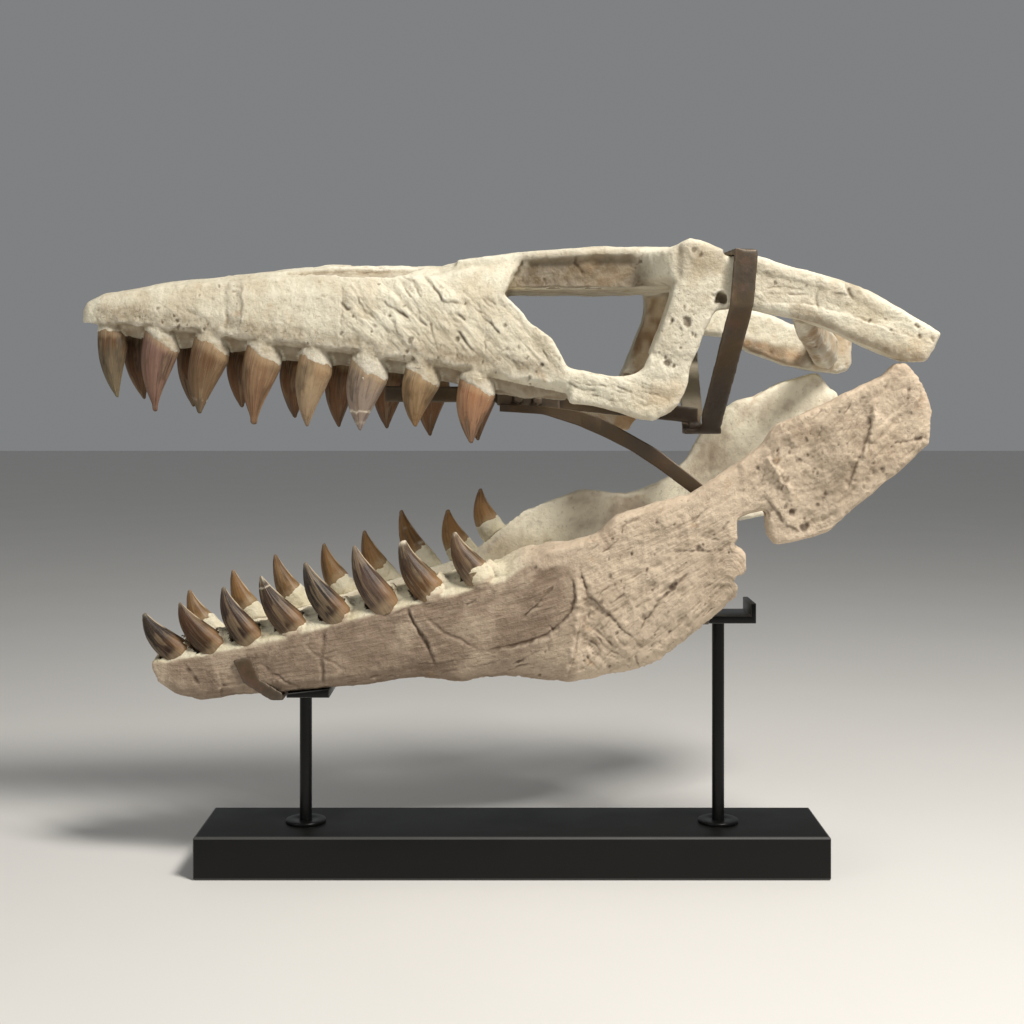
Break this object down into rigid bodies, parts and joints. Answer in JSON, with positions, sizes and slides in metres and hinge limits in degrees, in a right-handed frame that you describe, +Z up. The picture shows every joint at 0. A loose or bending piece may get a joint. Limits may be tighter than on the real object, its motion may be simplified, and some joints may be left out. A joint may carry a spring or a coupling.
{
  "type": "mounted mosasaur skull",
  "caption": "Long fossil marine reptile skull with wide open toothed jaws, carried by an iron strap armature and two rods on a long black block.",
  "frame": {"origin": "centre of the underside of the base block", "axes": "+X from the snout to the back of the skull, +Y towards the animal's right side, +Z up"},
  "size_m": [0.939, 0.3315, 0.706],
  "materials": {
    "skull_bone": "dry cream fossil bone and plaster, matt",
    "jaw_bone": "grey-brown grooved fossil bone, matt",
    "armature_iron": "forged iron, rusty brown",
    "stand_steel": "black paint, satin",
    "stand_block": "black lacquer, satin"
  },
  "bodies": {
    "root": {"premaxilla": "skull_bone", "maxilla_left": "skull_bone", "maxilla_right": "skull_bone", "prefrontal_left": "skull_bone", "prefrontal_right": "skull_bone", "nasal_bar": "skull_bone", "frontal": "skull_bone", "parietal": "skull_bone", "jugal_left": "skull_bone", "jugal_right": "skull_bone", "postorbital_left": "skull_bone", "postorbital_right": "skull_bone", "squamosal_left": "skull_bone", "squamosal_right": "skull_bone", "occipital": "skull_bone", "dentary_left": "jaw_bone", "dentary_right": "jaw_bone", "surangular_left": "jaw_bone", "surangular_right": "jaw_bone", "articular_left": "jaw_bone", "articular_right": "jaw_bone", "armature_strap_left": "armature_iron", "armature_strap_right": "armature_iron", "armature_strap_top": "armature_iron", "armature_strap_foot": "armature_iron", "armature_spine_bar": "armature_iron", "armature_post_front": "armature_iron", "armature_post_rear": "armature_iron", "armature_clamp": "armature_iron", "armature_curved_bar": "armature_iron", "armature_front_clip": "armature_iron", "armature_front_tie": "armature_iron", "armature_jaw_tie": "armature_iron", "armature_jaw_ear_left": "armature_iron", "armature_jaw_ear_right": "armature_iron", "stand_flange_front": "stand_steel", "stand_flange_rear": "stand_steel", "stand_rod_front": "stand_steel", "stand_rod_rear": "stand_steel", "stand_cradle_front": "stand_steel", "stand_cradle_rear": "stand_steel", "stand_base": "stand_block"}
  },
  "joints": []
}
